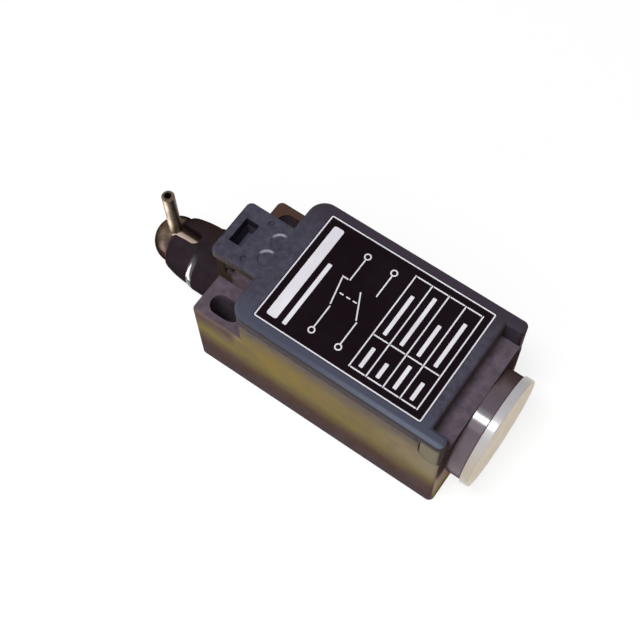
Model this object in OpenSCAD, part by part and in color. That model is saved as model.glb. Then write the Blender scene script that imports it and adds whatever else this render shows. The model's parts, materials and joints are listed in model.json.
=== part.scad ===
// Compact limit switch: box housing on its back, hinged T-shaped lid, slotted head with a domed
// plunger and a hollow hand pin, plugged cable entry, contact block inside.
// Frame: origin on the back face, midway between the two mounting holes.
// +X runs to the cable entry, +Z out of the lid. Millimetres.

/* [Housing] */
// Width of the housing
body_w = 30; // [28:0.5:34]
// Length of the housing
body_len = 57.8; // [56:0.1:62]
// Head wall ahead of the line of the mounting holes
head_reach = 5.8; // [5.2:0.1:7]
// Top of the mounting lugs above the back face
lug_h = 20.5; // [19:0.5:22]
// Top of the lid above the back face
total_h = 32; // [31:0.5:35]
// Side wall thickness
wall_t = 2.8; // [2.4:0.1:3]
// Floor thickness
floor_t = 2.4; // [2:0.1:2.8]
// Radius of the upright corners
corner_r = 1.2; // [0.8:0.1:1.6]
// Depth of the shoulder line below the lid top
shoulder_drop = 5.2; // [4.6:0.1:5.4]
// How far the rim stands in from the sides
rim_inset = 0.5; // [0.3:0.1:0.7]
// Drop of the entry ledge below the lid top
ledge_drop = 5.6; // [5.4:0.1:5.8]
// Thickness of the entry wall
entry_wall = 5.8; // [5:0.1:6.2]

/* [Mounting] */
// Spacing of the two mounting holes
hole_pitch = 22; // [21:0.1:22.4]
// Diameter of a mounting hole
hole_d = 4.3; // [4.1:0.1:4.6]
// Length of the long mouth at the top of a mounting hole
mouth_len = 7.2; // [6.5:0.1:7.8]
// Depth of the long mouth
mouth_depth = 12; // [6:0.5:14]

/* [Lid] */
// Thickness of the lid plate
lid_t = 2.5; // [2.2:0.1:2.7]
// Width of the tongue
tongue_w = 13; // [12:0.5:13.5]
// How far the tongue stands out over the head wall
tongue_over = 0.5; // [0.3:0.1:1]
// Start of the wide part of the lid behind the hole line
wide_start = 4.3; // [4.1:0.1:5]
// Radius of the lid corners beside the mounting lugs
notch_r = 3.5; // [2.5:0.1:4]
// Lid end edge short of the entry wall
lid_short = 3.7; // [3.4:0.1:4]
// Thickness of a hinge ear
ear_t = 2.6; // [2.4:0.1:2.6]
// Radius of the upright corner of an ear
ear_round = 1.2; // [1:0.1:1.4]
// Radius of the hinge knuckle
knuckle_r = 2.8; // [2.6:0.1:2.9]
// Diameter of a hinge pin
hinge_pin_d = 1.8; // [1.6:0.1:2]
// Hinge axis in from the entry wall
hinge_in = 1.7; // [1.6:0.05:1.9]
// Hinge axis below the lid top
hinge_drop = 7.3; // [7.1:0.1:7.5]
// Bevel of the lid's top edge
lid_bevel = 0.6; // [0.4:0.1:0.6]
// Length of the pry window
window_len = 3.1; // [2.8:0.1:3.4]
// Width of the pry window
window_w = 5.8; // [5:0.1:6]
// Length of the label recess
label_len = 37.3; // [36:0.1:38]
// Width of the label recess
label_w = 26; // [25:0.1:26.6]
// Depth of the label recess
label_deep = 0.25; // [0.15:0.05:0.35]
// Diameter of the round recesses at the root of the tongue
disc_d = 3.6; // [3:0.1:3.8]
// Depth of the round recesses
disc_deep = 0.35; // [0.2:0.05:0.4]
// Thickness of the lid seal
seal_t = 0.8; // [0.6:0.05:0.8]

/* [Head] */
// Height of the plunger axis above the back face
axis_z = 8.6; // [8.5:0.1:9.2]
// Diameter of the collar
collar_d = 14.5; // [14.3:0.1:15]
// Length of the collar in front of the head wall
collar_len = 9.1; // [8.7:0.1:9.6]
// Length of the collar's rounded shoulder
collar_round = 1.1; // [0.8:0.1:1.5]
// Diameter of the sleeve where it leaves the collar
sleeve_d = 13.8; // [13.4:0.1:14]
// Diameter of the sleeve at its front edge
lip_d = 11.8; // [11.6:0.1:12.2]
// Length of the slotted sleeve in front of the collar
sleeve_len = 6.6; // [6.4:0.1:7.2]
// Diameter of the spigot inside the head
spigot_d = 13.6; // [13.4:0.1:13.9]
// Diameter of the plunger
plunger_d = 10.4; // [10:0.1:10.6]
// Height of the domed tip, from the axis of the pin to the very front
tip_out = 5; // [4.8:0.1:5.6]
// Full travel of the plunger
stroke = 5; // [4.6:0.1:5.1]
// Diameter of the reset pin
pin_d = 2.7; // [2.4:0.1:2.8]
// Top of the reset pin above the plunger axis
pin_rise = 18.4; // [16:0.1:20]
// How far the axis of the pin stands in front of the sleeve
pin_lead = 0.8; // [0.6:0.1:1]
// Bore of the reset pin
pin_bore = 1.5; // [1.2:0.1:1.6]
// Diameter of the stem
stem_d = 6.2; // [5.8:0.1:6.4]
// Wire diameter of the return spring
wire_d = 0.9; // [0.7:0.05:1]
// Turns of the return spring
spring_turns = 4.5; // [4:0.5:5]

/* [Cable entry] */
// Height of the entry axis above the back face
entry_z = 14.5; // [14:0.1:14.8]
// Diameter of the entry bore
entry_d = 18.4; // [17.8:0.1:18.6]
// Diameter of the entry neck
neck_d = 23.2; // [22.6:0.1:23.4]
// Length of the entry neck
neck_len = 3.3; // [2.8:0.1:3.6]
// Diameter of the plug flange
plug_d = 24.1; // [23.6:0.1:24.2]
// Thickness of the plug flange
plug_t = 1.9; // [1.7:0.1:2.2]
// Thickness of the plug seal
plug_seal_t = 0.7; // [0.5:0.05:0.8]
// Wall of the hollow plug
plug_wall = 1.5; // [1.2:0.1:1.8]

/* [Contacts] */
// Height of the contact towers above the floor
tower_h = 14.6; // [13.6:0.1:15.6]
// Thickness of a contact strip
strip_t = 0.6; // [0.5:0.05:0.7]
// Diameter of a terminal screw head
screw_head_d = 5.4; // [5:0.1:5.6]
// Diameter of a terminal screw's shank
screw_d = 2.8; // [2.5:0.1:2.9]
// Side of a clamp plate
clamp_side = 5; // [4.6:0.1:5.2]
// Thickness of a clamp plate
clamp_t = 0.9; // [0.8:0.1:1]
// Diameter of a contact tip
contact_d = 2.6; // [2.2:0.1:2.8]
// Diameter of a block screw's head
block_head_d = 4.4; // [4:0.1:4.6]
// Diameter of a block screw's shank
block_screw_d = 2; // [1.8:0.1:2.2]
// Width of the contact carriage
carriage_w = 8.8; // [8.4:0.1:9]
// Width of a contact bridge along its travel
bridge_t = 0.6; // [0.5:0.05:0.7]

/* [Fits] */
// Radial play of a running fit
run_gap = 0.05; // [0.03:0.01:0.08]
// Gap between pieces that only lie beside each other
lie_gap = 0.05; // [0.03:0.01:0.08]
// Gap round moving pieces that must never touch
swing_gap = 0.35; // [0.3:0.05:0.4]

/* [Hidden] */
$fn = 64;

c_black = [0.09, 0.09, 0.1];
c_lid = [0.2, 0.21, 0.24];
c_steel = [0.75, 0.73, 0.7];
c_rubber = [0.05, 0.05, 0.05];
c_plug = [0.86, 0.85, 0.82];
c_brass = [0.82, 0.68, 0.36];
c_copper = [0.8, 0.52, 0.34];
c_block = [0.32, 0.3, 0.28];
c_red = [0.62, 0.2, 0.16];

half_w = body_w / 2;
head_x = -head_reach;
end_x = body_len - head_reach;
shoulder_z = total_h - shoulder_drop;
lid_z = total_h - lid_t;
rim_z = lid_z - seal_t - 2 * lie_gap;
ledge_z = total_h - ledge_drop;
cav_x0 = wide_start + 2.7;
cav_x1 = end_x - entry_wall;
cav_y = half_w - wall_t;
lid_x1 = end_x - lid_short;
hinge_x = end_x - hinge_in;
hinge_z = total_h - hinge_drop;
pocket_r = knuckle_r + swing_gap;
ear_y = half_w - ear_t;
ear_end = end_x - 0.1;
bite = 6;
tongue_x = head_x - tongue_over;
block_half = tongue_w / 2 - 0.5;
window_x = -4.4;
leg_x = -3.3;
leg_w = 2;
label_x = wide_start + 4.4;
seal_x0 = wide_start + 1;
seal_corner = 3;
cav_corner = 2.4;
hole_y = hole_pitch / 2;

collar_x = head_x - collar_len;
sleeve_x = collar_x - sleeve_len;
sleeve_rear = 2.9;
pin_x = sleeve_x - pin_lead;
tip_x = pin_x - tip_out;
slot_w = pin_d + 0.3;
slot_x1 = pin_x + stroke + pin_d / 2 + 0.35;
step_x = slot_x1 + 0.95;
rear_r = spigot_d / 2 - 1.2;
flange_x0 = step_x + 0.2;
flange_x1 = flange_x0 + 2.8;
seat_x = sleeve_rear + 0.1;
stem_r = stem_d / 2;
stem_x1 = cav_x0 + 6;
pin_foot = plunger_d / 2 - 1.4;
clip_x = cav_x0 + 0.7;
clip_wire = 0.8;
clip_r = stem_r + run_gap + clip_wire / 2;
ring_tube = 0.65;
ring_r = rear_r - run_gap - ring_tube;

neck_x = end_x + neck_len;
flange_x = neck_x + 2 * lie_gap;
groove_x = neck_x + plug_seal_t + 2 * lie_gap;
groove_r = entry_d / 2 + 1.5;
plug_x = flange_x + plug_t;
plug_r = entry_d / 2 - 0.08;

block_x0 = cav_x0 + 2;
base_z = floor_t + lie_gap;
base_top = base_z + 2.5;
tower_z = floor_t + tower_h;
tower_len = 6.2;
tip_t = 0.25;
open_face = block_x0 + tower_len;
bridge_x0 = open_face + strip_t + 2 * tip_t + lie_gap;
window_x0 = bridge_x0 - 0.05;
close_x0 = bridge_x0 + 4.05;
close_x1 = close_x0 + bridge_t;
window_x1 = close_x1 + 0.05;
close_face = close_x1 + 2 * tip_t + stroke + lie_gap + strip_t;
block_x1 = close_face + tower_len;
carriage_x0 = stem_x1 - 2.6;
carriage_x1 = window_x1 + 3.4;
carriage_h = 6.8;
term_y = (cav_y + carriage_w / 2) / 2 + 0.3;
term_x_open = block_x0 + tower_len / 2;
term_x_close = close_face + tower_len / 2;
leg_y0 = carriage_w / 2 + 1.8;
leg_y1 = cav_y - 1.2;
leg_z = tower_z + lie_gap;
plate_z = leg_z + strip_t + lie_gap;
head_z = plate_z + clamp_t + lie_gap;
post_x = block_x1 + 2.6;
post_z = floor_t + 5;
tip_y = (leg_y0 + leg_y1) / 2 - 0.9;

// A rounded rectangle from corner to corner.
module rrect(x0, y0, x1, y1, r) {
    translate([x0 + r, y0]) square([x1 - x0 - 2 * r, y1 - y0]);
    translate([x0, y0 + r]) square([x1 - x0, y1 - y0 - 2 * r]);
    for (x = [x0 + r, x1 - r])
        for (y = [y0 + r, y1 - r])
            translate([x, y]) circle(r = r, $fn = 48);
}

// A flat slab with rounded upright corners.
module slab(x0, x1, hy, z0, z1, r) {
    translate([0, 0, z0]) linear_extrude(height = z1 - z0) rrect(x0, -hy, x1, hy, r);
}

// A slab with its top edge bevelled; ra rounds the corners at the head end, rb at the entry end.
module bevel_slab(x0, x1, hy, z0, z1, ra, rb, c) {
    hull() {
        for (s = [-1, 1]) {
            translate([x0 + ra, s * (hy - ra), z0]) cylinder(r = ra, h = z1 - c - z0, $fn = 32);
            translate([x1 - rb, s * (hy - rb), z0]) cylinder(r = rb, h = z1 - c - z0, $fn = 32);
            translate([x0 + ra, s * (hy - ra), z0]) cylinder(r = ra - c, h = z1 - z0, $fn = 32);
            translate([x1 - rb, s * (hy - rb), z0]) cylinder(r = rb - c, h = z1 - z0, $fn = 32);
        }
    }
}

// A box from corner to corner.
module box(a, b) {
    translate(a) cube(b - a);
}

// A cylinder along X at height z.
module xcyl(r, x0, x1, z, y = 0) {
    translate([x0, y, z]) rotate([0, 90, 0]) cylinder(r = r, h = x1 - x0);
}

// A cylinder along Y at x, z.
module ycyl(r, y0, y1, x, z) {
    translate([x, y0, z]) rotate([-90, 0, 0]) cylinder(r = r, h = y1 - y0);
}

// A body turned about the X axis at height z from a profile of [radius, x] points.
module xturn(points, z) {
    translate([0, 0, z]) rotate([0, 90, 0]) rotate_extrude() polygon(points);
}

// Points of an arc.
function arc(cx, cy, rx, ry, a0, a1, n) =
    [for (i = [0:n]) [cx + rx * cos(a0 + (a1 - a0) * i / n), cy + ry * sin(a0 + (a1 - a0) * i / n)]];

// Radius of the sleeve at a share t of its length from the collar to its front edge.
function sleeve_r(t) = sleeve_d / 2 - (sleeve_d - lip_d) / 2 * pow(t, 2);

// Centre line of a coil spring along X between two faces, with level ends.
function coil_point(t, x0, x1, r, turns, wire) =
    [x0 + wire / 2 + (x1 - x0 - wire) * t, r * cos(360 * turns * t), r * sin(360 * turns * t)];
function coil(x0, x1, r, turns, wire) =
    let (n = round(8 * turns), a = coil_point(0, x0, x1, r, turns, wire),
        b = coil_point(1, x0, x1, r, turns, wire), e = 360 * turns)
    concat([a + [0, 0, -wire]], [for (i = [0:n]) coil_point(i / n, x0, x1, r, turns, wire)],
        [b + wire * [0, -sin(e), cos(e)]]);
// Least distance between points of the centre line at least five rings apart, less the wire.
function coil_gap(p, wire) =
    min([for (i = [0:len(p) - 1]) for (j = [i + 5:1:len(p) - 1]) norm(p[i] - p[j])]) - wire;

// A six-sided tube through a list of points of a coil about the X axis.
module tube(path, wire, z) {
    n = len(path);
    dirs = [for (i = [0:n - 1]) let (d = path[min(i + 1, n - 1)] - path[max(i - 1, 0)]) d / norm(d)];
    rings = [for (i = [0:n - 1])
        let (u0 = [0, path[i][1], path[i][2]], u1 = u0 - dirs[i] * (u0 * dirs[i]), u = u1 / norm(u1),
            v = cross(dirs[i], u))
        for (k = [0:5]) path[i] + (u * cos(60 * k) + v * sin(60 * k)) * wire / 2];
    sides = [for (i = [0:n - 2]) for (k = [0:5]) each [
        [6 * i + k, 6 * i + (k + 1) % 6, 6 * i + 6 + k],
        [6 * i + (k + 1) % 6, 6 * i + 6 + (k + 1) % 6, 6 * i + 6 + k]]];
    caps = [[5, 4, 3, 2, 1, 0], [for (k = [0:5]) 6 * (n - 1) + k]];
    translate([0, 0, z]) polyhedron(points = rings, faces = concat(sides, caps), convexity = 10);
}

// Outer shape of the housing before it is hollowed.
module housing_outside() {
    bevel_slab(head_x, end_x, half_w, 0, lug_h, corner_r, corner_r, 0.5);
    slab(wide_start, end_x - 2 * bite, half_w, lug_h - bite, shoulder_z, notch_r);
    slab(end_x - 4 * bite, end_x, half_w, lug_h - bite, shoulder_z, corner_r);
    slab(wide_start + 0.3, lid_x1 - 0.4, half_w - rim_inset, lug_h - bite, rim_z, notch_r - rim_inset);
    slab(head_x, seal_x0 - 2 * lie_gap, block_half, lug_h - bite, lid_z - lie_gap, 0.4);
    xturn([[0, end_x - 1], [neck_d / 2, end_x - 1], [neck_d / 2, neck_x - 0.15],
        [neck_d / 2 - 0.15, neck_x], [0, neck_x]], entry_z);
}

// Pocket beside the entry ledge in which a hinge ear swings.
module ear_pocket() {
    for (s = [0, 1]) mirror([0, s, 0]) {
        ycyl(pocket_r, ear_y - 0.1, half_w + 1, hinge_x, hinge_z);
        box([hinge_x - pocket_r, ear_y - 0.1, hinge_z], [end_x + 1, half_w + 1, total_h]);
        box([hinge_x, ear_y - 0.1, hinge_z - pocket_r + 0.6], [end_x + 1, half_w + 1, hinge_z + 1]);
    }
}

// Rib with a groove that holds one leg of the latch clip.
module clip_rib() {
    face = stem_r + 0.4;
    difference() {
        box([cav_x0 - 0.5, face, floor_t - 1], [clip_x + clip_wire / 2 + 0.65, face + 2, axis_z + 5]);
        box([clip_x - clip_wire / 2 - lie_gap, face - 1, floor_t],
            [clip_x + clip_wire / 2 + lie_gap, clip_r + clip_wire / 2 + lie_gap, axis_z + 6]);
    }
}

module housing() {
    color(c_black) difference() {
        union() {
            difference() {
                housing_outside();
                slab(cav_x0, cav_x1, cav_y, floor_t, total_h, cav_corner);
            }
            for (s = [-1, 1]) {
                translate([post_x, s * term_y, floor_t - 1]) cylinder(r = 2.6, h = post_z - floor_t + 1);
            }
            for (s = [0, 1]) mirror([0, s, 0]) clip_rib();
        }
        ear_pocket();
        box([lid_x1 - 0.4, -ear_y + 0.1, ledge_z], [end_x + 1, ear_y - 0.1, total_h]);
        xcyl(spigot_d / 2 + run_gap, head_x - 1, seat_x, axis_z);
        xcyl(stem_r + 0.3, seat_x - 1, cav_x0 + 1, axis_z);
        xcyl(entry_d / 2, cav_x1 - 1, neck_x + 1, entry_z);
        for (s = [-1, 1]) {
            translate([0, s * hole_y, -1]) cylinder(r = hole_d / 2, h = lug_h + 2);
            translate([0, s * hole_y, lug_h - mouth_depth]) linear_extrude(height = mouth_depth + 1)
                rrect(-mouth_len / 2, -hole_d / 2, mouth_len / 2, hole_d / 2, hole_d / 2 - 0.01);
            translate([post_x, s * term_y, floor_t - 1.2]) cylinder(r = block_screw_d / 2 + 0.05, h = post_z);
            ycyl(hinge_pin_d / 2 + 0.02, s > 0 ? ear_y - 4 : -ear_y - 1, s > 0 ? ear_y + 1 : -ear_y + 4,
                hinge_x, hinge_z);
            box([leg_x - 0.4, s > 0 ? block_half - 0.9 : -block_half - 1, total_h - 8.2],
                [leg_x + leg_w + 0.7, s > 0 ? block_half + 1 : -block_half + 0.9, total_h]);
        }
        box([window_x, -window_w / 2, lid_z - 3.2], [window_x + window_len, window_w / 2, total_h]);
    }
}

module lid() {
    color(c_lid) difference() {
        union() {
            bevel_slab(wide_start, lid_x1, half_w, lid_z, total_h, notch_r, corner_r, lid_bevel);
            bevel_slab(tongue_x, wide_start + 6, tongue_w / 2, lid_z, total_h, corner_r, corner_r, lid_bevel);
            for (s = [0, 1]) mirror([0, s, 0]) {
                hull() {
                    box([lid_x1 - bite, ear_y, lid_z], [lid_x1, half_w, total_h - lid_bevel]);
                    box([lid_x1 - bite, ear_y + lid_bevel, lid_z], [lid_x1, half_w - lid_bevel, total_h]);
                    for (r = [ear_round, ear_round - lid_bevel])
                        for (y = [ear_y + ear_round, half_w - ear_round])
                            translate([ear_end - ear_round, y, lid_z])
                                cylinder(r = r, h = lid_t + ear_round - lid_bevel - r, $fn = 32);
                }
                intersection() {
                    union() {
                        ycyl(knuckle_r, ear_y, half_w - 0.05, hinge_x, hinge_z);
                        box([hinge_x - knuckle_r, ear_y, hinge_z],
                            [end_x, half_w - 0.05, lid_z + 0.5]);
                    }
                    slab(hinge_x - 2 * bite, ear_end, half_w - 0.05, 0, total_h, ear_round);
                }
                box([leg_x, block_half - 0.75, total_h - 5], [leg_x + leg_w, block_half + 0.2, lid_z + 0.5]);
            }
            for (s = [-1, 1]) {
                box([cav_x0 + seal_corner + 0.4, s > 0 ? cav_y - 1.3 : -cav_y + 0.3, lid_z - 2.4],
                    [cav_x1 - seal_corner - 0.4, s > 0 ? cav_y - 0.3 : -cav_y + 1.3, lid_z + 0.5]);
            }
            box([cav_x0 + 0.6, -cav_y + seal_corner + 0.2, lid_z - 2.4],
                [cav_x0 + 1.6, cav_y - seal_corner - 0.2, lid_z + 0.5]);
        }
        box([window_x, -window_w / 2, lid_z - 1], [window_x + window_len, window_w / 2, total_h + 1]);
        slab(label_x, label_x + label_len, label_w / 2, total_h - label_deep, total_h + 1, 0.4);
        for (s = [-1, 1]) {
            translate([0.4, s * 4.6, total_h - 0.5]) cylinder(r = 0.7, h = 1);
            translate([wide_start - 0.3, s * 2.1, total_h - disc_deep]) cylinder(r = disc_d / 2, h = 1);
            ycyl(hinge_pin_d / 2 + run_gap, s > 0 ? ear_y - 1 : -half_w + 0.9,
                s > 0 ? half_w - 0.9 : -ear_y + 1, hinge_x, hinge_z);
        }
    }
}

module lid_seal() {
    color(c_rubber) difference() {
        slab(seal_x0, lid_x1 - 0.7, half_w - rim_inset - 0.3, rim_z + lie_gap, lid_z - lie_gap, 2);
        slab(cav_x0 + 0.2, cav_x1 - 0.2, cav_y - 0.2, rim_z - 1, total_h, seal_corner);
        for (s = [0, 1]) mirror([0, s, 0])
            box([hinge_x - knuckle_r - 2 * lie_gap, ear_y - 2 * lie_gap, 0], [end_x, half_w, total_h]);
    }
}

module hinge_pins() {
    color(c_steel) for (s = [-1, 1])
        ycyl(hinge_pin_d / 2, s > 0 ? ear_y - 3.9 : -half_w + 1, s > 0 ? half_w - 1 : -ear_y + 3.9,
            hinge_x, hinge_z);
}

module guide_sleeve() {
    color(c_black) difference() {
        xturn(concat(
            [[0, sleeve_rear], [spigot_d / 2, sleeve_rear], [spigot_d / 2, head_x - lie_gap],
                [collar_d / 2, head_x - lie_gap]],
            arc(sleeve_d / 2 - 0.1, collar_x + collar_round, collar_d / 2 - sleeve_d / 2 + 0.1, collar_round,
                0, -80, 6),
            [for (t = [0.125:0.125:0.875]) [sleeve_r(t), collar_x - sleeve_len * t]],
            [[lip_d / 2, sleeve_x + 0.25], [lip_d / 2 - 0.3, sleeve_x], [0, sleeve_x]]), axis_z);
        xcyl(plunger_d / 2 + run_gap, sleeve_x - 1, step_x + 1, axis_z);
        xcyl(rear_r, step_x, sleeve_rear + 1, axis_z);
        box([sleeve_x - 1, -slot_w / 2, axis_z], [slot_x1 - slot_w / 2, slot_w / 2, axis_z + collar_d]);
        translate([slot_x1 - slot_w / 2, 0, axis_z]) cylinder(r = slot_w / 2, h = collar_d);
    }
}

module plunger() {
    color(c_steel) difference() {
        xturn(concat(
            [[0, tip_x]],
            arc(0, pin_x, plunger_d / 2, tip_out, -85, 0, 17),
            [[plunger_d / 2, flange_x0], [rear_r - run_gap, flange_x0],
                [rear_r - run_gap, flange_x0 + 0.7],
                [ring_r - ring_tube - 0.05, flange_x0 + 0.7],
                [ring_r - ring_tube - 0.05, flange_x1 - 0.7],
                [rear_r - run_gap, flange_x1 - 0.7], [rear_r - run_gap, flange_x1],
                [stem_r, flange_x1], [stem_r, clip_x - stroke - 0.6], [stem_r - 0.5, clip_x - stroke - 0.6],
                [stem_r - 0.5, clip_x - stroke + 0.6], [stem_r, clip_x - stroke + 0.6],
                [stem_r, stem_x1], [0, stem_x1]]), axis_z);
        translate([pin_x, 0, axis_z - pin_foot - lie_gap]) cylinder(r = pin_d / 2 + 0.01, h = 2 * plunger_d);
    }
}

module plunger_ring() {
    color(c_rubber) translate([(flange_x0 + flange_x1) / 2, 0, axis_z]) rotate([0, 90, 0])
        rotate_extrude() translate([ring_r, 0]) circle(r = ring_tube, $fn = 24);
}

module reset_pin() {
    color(c_steel) translate([pin_x, 0, axis_z]) difference() {
        rotate_extrude() polygon([[0, -pin_foot], [pin_d / 2, -pin_foot],
            [pin_d / 2, pin_rise - 0.3], [pin_d / 2 - 0.3, pin_rise], [0, pin_rise]]);
        translate([0, 0, -plunger_d]) cylinder(r = pin_bore / 2, h = plunger_d + pin_rise + 1);
    }
}

module return_spring() {
    path = coil(flange_x1 + 0.1, seat_x - 0.1, stem_r + 1.4, spring_turns, wire_d);
    echo("return spring gap", coil_gap(path, wire_d));
    color(c_steel) tube(path, wire_d, axis_z);
}

module latch_clip() {
    color(c_steel) {
        for (s = [-1, 1])
            translate([clip_x, s * clip_r, base_z]) cylinder(r = clip_wire / 2, h = axis_z + 1 - base_z);
        translate([clip_x, 0, axis_z + 1]) rotate([90, 0, 90])
            rotate_extrude(angle = 180) translate([clip_r, 0]) circle(r = clip_wire / 2, $fn = 24);
    }
}

module entry_plug() {
    color(c_plug) difference() {
        xturn(concat([[0, cav_x1 + 0.6], [plug_r - 0.5, cav_x1 + 0.6], [plug_r, cav_x1 + 1.6],
            [plug_r, groove_x], [groove_r, groove_x], [groove_r, flange_x], [plug_d / 2, flange_x]],
            arc(plug_d / 2 - 0.35, plug_x - 0.35, 0.35, 0.35, 0, 90, 4), [[0, plug_x]]), entry_z);
        xcyl(plug_r - plug_wall, cav_x1 - 1, flange_x + 0.6, entry_z);
    }
}

module plug_seal() {
    color(c_rubber) difference() {
        xcyl(groove_r - 0.1, neck_x + lie_gap, groove_x - lie_gap, entry_z);
        xcyl(entry_d / 2 + 0.05, neck_x - 1, groove_x + 1, entry_z);
    }
}

module contact_block() {
    color(c_block) difference() {
        union() {
            box([block_x0, -cav_y + 0.4, base_z], [block_x1, cav_y - 0.4, base_top]);
            for (s = [0, 1]) mirror([0, s, 0]) {
                box([block_x0, carriage_w / 2 + 0.9, base_z], [open_face, cav_y - 0.4, tower_z]);
                box([close_face, carriage_w / 2 + 0.9, base_z], [block_x1, cav_y - 0.4, tower_z]);
                box([block_x0, carriage_w / 2 + 0.1, base_z], [block_x1, carriage_w / 2 + 1, axis_z - 2.2]);
                box([block_x1 - 1, term_y - 2.6, post_z + lie_gap], [post_x + 2.8, cav_y - 0.4, post_z + 1.9]);
            }
        }
        for (s = [-1, 1]) {
            for (x = [term_x_open, term_x_close])
                translate([x, s * term_y, tower_z - 8]) cylinder(r = screw_d / 2 + 0.08, h = 9);
            translate([post_x, s * term_y, post_z - 1]) cylinder(r = block_screw_d / 2 + 0.3, h = 4);
        }
    }
}

module carriage() {
    color(c_red) difference() {
        box([carriage_x0, -carriage_w / 2, axis_z - carriage_h / 2],
            [carriage_x1, carriage_w / 2, axis_z + carriage_h / 2]);
        xcyl(stem_r + 0.05, carriage_x0 - 1, stem_x1 + 0.1, axis_z);
        box([window_x0, -carriage_w, axis_z - 2.2], [window_x1, carriage_w, axis_z + 2.2]);
    }
}

// A contact bridge across the carriage with a contact tip at each end.
module bridge(x0, side) {
    box([x0, -leg_y1 + 0.3, axis_z - 1.6], [x0 + bridge_t, leg_y1 - 0.3, axis_z + 1.6]);
    for (s = [-1, 1])
        if (side < 0)
            xcyl(contact_d / 2, x0 - tip_t, x0 + 0.1, axis_z, s * tip_y);
        else
            xcyl(contact_d / 2, x0 + bridge_t - 0.1, x0 + bridge_t + tip_t, axis_z, s * tip_y);
}

module opening_bridge() {
    color(c_copper) bridge(bridge_x0, -1);
}

module closing_bridge() {
    color(c_copper) bridge(close_x0, 1);
}

module contact_spring() {
    path = coil(bridge_x0 + bridge_t + 0.05, close_x0 - 0.05, 1.5, 3, 0.45);
    echo("contact spring gap", coil_gap(path, 0.45));
    color(c_steel) tube(path, 0.45, axis_z);
}

// A fixed contact: upright strip with a tip, bent over the tower top to the terminal.
module fixed_contact(face, side) {
    far = side < 0 ? face - tower_len + 0.6 : face + tower_len - 0.6;
    near = side < 0 ? face + strip_t + lie_gap : face - strip_t - lie_gap;
    in_x = side < 0 ? face + lie_gap : face - lie_gap;
    difference() {
        union() {
            box([min(near, in_x), leg_y0, axis_z - 2], [max(near, in_x), leg_y1, leg_z + strip_t]);
            box([min(near, far), leg_y0, leg_z], [max(near, far), leg_y1, leg_z + strip_t]);
            if (side < 0)
                xcyl(contact_d / 2, near - 0.1, near + tip_t - lie_gap, axis_z, tip_y);
            else
                xcyl(contact_d / 2, near - tip_t + lie_gap, near + 0.1, axis_z, tip_y);
        }
        translate([side < 0 ? term_x_open : term_x_close, term_y, leg_z - 1])
            cylinder(r = screw_d / 2 + 0.4, h = 3);
    }
}

module opening_contact_near() {
    color(c_brass) mirror([0, 1, 0]) fixed_contact(open_face, -1);
}

module opening_contact_far() {
    color(c_brass) fixed_contact(open_face, -1);
}

module closing_contact_near() {
    color(c_brass) mirror([0, 1, 0]) fixed_contact(close_face, 1);
}

module closing_contact_far() {
    color(c_brass) fixed_contact(close_face, 1);
}

module terminal_screws() {
    color(c_steel) for (x = [term_x_open, term_x_close])
        for (s = [-1, 1])
            translate([x, s * term_y, 0]) difference() {
                union() {
                    translate([0, 0, head_z])
                        cylinder(r1 = screw_head_d / 2, r2 = screw_head_d / 2 - 0.4, h = 1.9);
                    translate([0, 0, tower_z - 7.5]) cylinder(r = screw_d / 2, h = head_z - tower_z + 8);
                }
                box([-3, -0.4, head_z + 0.9], [3, 0.4, head_z + 3]);
                box([-0.4, -1.8, head_z + 0.9], [0.4, 1.8, head_z + 3]);
            }
}

module clamp_plates() {
    color(c_steel) for (x = [term_x_open, term_x_close])
        for (s = [-1, 1])
            translate([x, s * term_y, 0]) difference() {
                box([-clamp_side / 2, -clamp_side / 2, plate_z],
                    [clamp_side / 2, clamp_side / 2, plate_z + clamp_t]);
                translate([0, 0, plate_z - 1]) cylinder(r = screw_d / 2 + 0.35, h = 3);
            }
}

module block_screws() {
    color(c_steel) for (s = [-1, 1])
        translate([post_x, s * term_y, 0]) difference() {
            union() {
                translate([0, 0, post_z + 1.95])
                    cylinder(r1 = block_head_d / 2, r2 = block_head_d / 2 - 0.3, h = 1.5);
                translate([0, 0, floor_t]) cylinder(r = block_screw_d / 2, h = post_z);
            }
            box([-3, -0.3, post_z + 2.7], [3, 0.3, post_z + 6]);
        }
}

housing();
lid();
lid_seal();
hinge_pins();
guide_sleeve();
plunger();
plunger_ring();
reset_pin();
return_spring();
latch_clip();
entry_plug();
plug_seal();
contact_block();
carriage();
opening_bridge();
closing_bridge();
contact_spring();
opening_contact_near();
opening_contact_far();
closing_contact_near();
closing_contact_far();
terminal_screws();
clamp_plates();
block_screws();
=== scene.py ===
# %% [markdown]
# # A compact limit switch, dressed for its picture
# The solid model comes in as a fixed frame: housing, hinged lid, slotted head with plunger and hand
# pin, plugged cable entry and the contact block inside. It could be drawn again as meshes, but the
# solids already have the real sizes, so they stay and this lesson works on their surfaces. It gives
# every piece its finish, softens the moulded edges, adds a thin label plate and a coiled spring, and
# sets up floor, light and camera.

import json

import bpy
import numpy as np
from mathutils import Matrix, Vector

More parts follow.
